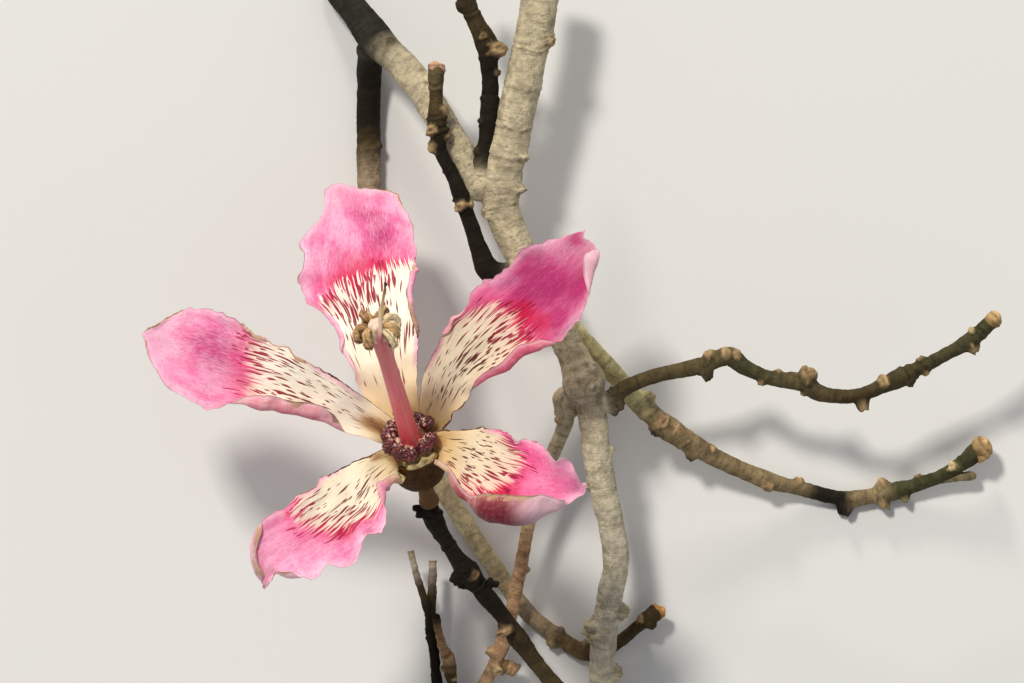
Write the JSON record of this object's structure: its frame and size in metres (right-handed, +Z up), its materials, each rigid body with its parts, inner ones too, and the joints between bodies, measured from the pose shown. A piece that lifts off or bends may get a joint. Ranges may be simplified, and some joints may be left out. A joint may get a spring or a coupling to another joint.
{
  "type": "flowering branch of a silk floss tree, cut",
  "caption": "Cut woody branch with a forked main limb, slim knobbly twigs and a large open flower of strap-shaped pink and cream petals round a rose column.",
  "frame": {"origin": "on the level ground, under the middle of the lying branch's box", "axes": "+X along the branch's longest reach, towards the tips of the two right twigs; +Y towards the sawn thick end of the main limb; +Z up, towards the open face of the flower"},
  "size_m": [0.2482, 0.2312, 0.1271],
  "materials": {
    "bark_grey": "pale grey-tan fine-grained bark with rings and corky scars, matt",
    "bark_dark": "dark brown young bark with tan corky knobs, matt",
    "bark_olive": "olive-brown young bark with tan corky knobs, satin",
    "bark_brown": "orange-brown to dark brown dry bark, matt",
    "bark_black": "almost black bark with scaly bracts, matt",
    "petal": "soft velvety petal, cream at the claw with maroon dashes, pink outwards",
    "calyx": "leathery olive-brown cup",
    "column": "smooth waxy rose",
    "anther": "olive-tan powdery anthers with dark slits",
    "corona": "dark maroon warty lobes with a wet gloss"
  },
  "bodies": {
    "root": {"main_limb": "bark_grey", "left_fork": "bark_grey", "hanging_twig": "bark_dark", "hanging_twig_tip": "bark_dark", "upright_twig": "bark_dark", "short_twig": "bark_dark", "right_upper_twig": "bark_olive", "right_lower_twig": "bark_olive", "brown_twig": "bark_brown", "flower_twig": "bark_black", "dry_twig_a": "bark_brown", "dry_twig_b": "bark_brown", "dry_twig_c": "bark_brown", "petal_left": "petal", "petal_top": "petal", "petal_upper_right": "petal", "petal_right": "petal", "petal_lower_left": "petal", "calyx": "calyx", "staminal_column": "column", "style": "column", "anther_head": "anther", "staminode_1": "corona", "staminode_2": "corona", "staminode_3": "corona", "staminode_4": "corona", "staminode_5": "corona"}
  },
  "joints": []
}
